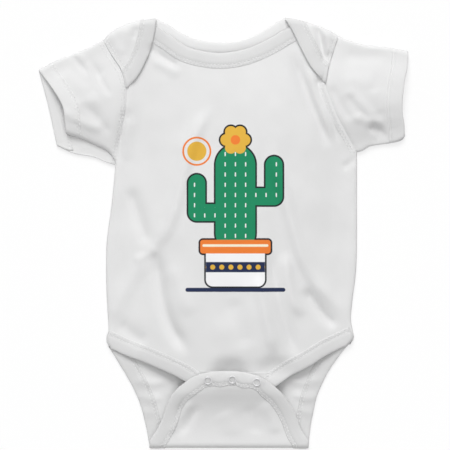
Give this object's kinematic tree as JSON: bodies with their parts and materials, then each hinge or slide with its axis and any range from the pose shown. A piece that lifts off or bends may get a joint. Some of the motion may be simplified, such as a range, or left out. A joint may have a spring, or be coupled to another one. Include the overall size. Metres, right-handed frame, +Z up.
{
  "type": "baby bodysuit",
  "caption": "Short-sleeved baby bodysuit laid flat, with lap shoulders, bound neck and leg openings and a crotch flap that opens on ring snaps.",
  "frame": {"origin": "middle of the garment's box, on the surface that its back lies on", "axes": "+X across the chest to the right of the picture, +Y from the crotch fold to the neck, +Z up through the front"},
  "size_m": [0.3261, 0.3796, 0.0235],
  "materials": {
    "cotton_jersey": "soft white cotton knit, printed on the chest",
    "rib_binding": "white rib-knit binding with twin stitching",
    "snap_metal": "satin nickel ring snaps"
  },
  "bodies": {
    "garment": {"front_panel": "cotton_jersey", "front_placket": "rib_binding", "front_neck_binding": "rib_binding", "back_panel": "cotton_jersey", "back_neck_binding": "rib_binding", "leg_binding_left": "rib_binding", "leg_binding_right": "rib_binding", "shoulder_lap_left": "cotton_jersey", "lap_binding_left": "rib_binding", "shoulder_lap_right": "cotton_jersey", "lap_binding_right": "rib_binding", "sleeve_left": "cotton_jersey", "sleeve_hem_left": "cotton_jersey", "sleeve_right": "cotton_jersey", "sleeve_hem_right": "cotton_jersey", "snap_stud_1": "snap_metal", "snap_stud_2": "snap_metal", "snap_stud_3": "snap_metal"},
    "flap": {"crotch_flap": "cotton_jersey", "flap_binding": "rib_binding", "snap_socket_1": "snap_metal", "snap_socket_2": "snap_metal", "snap_socket_3": "snap_metal"}
  },
  "joints": [
    {"name": "flap_fold", "type": "hinge", "parent": "garment", "child": "flap", "pos_m": [0, -0.18572, 0.00428], "axis": [1, 0, 0], "range_deg": [0, 164]}
  ]
}
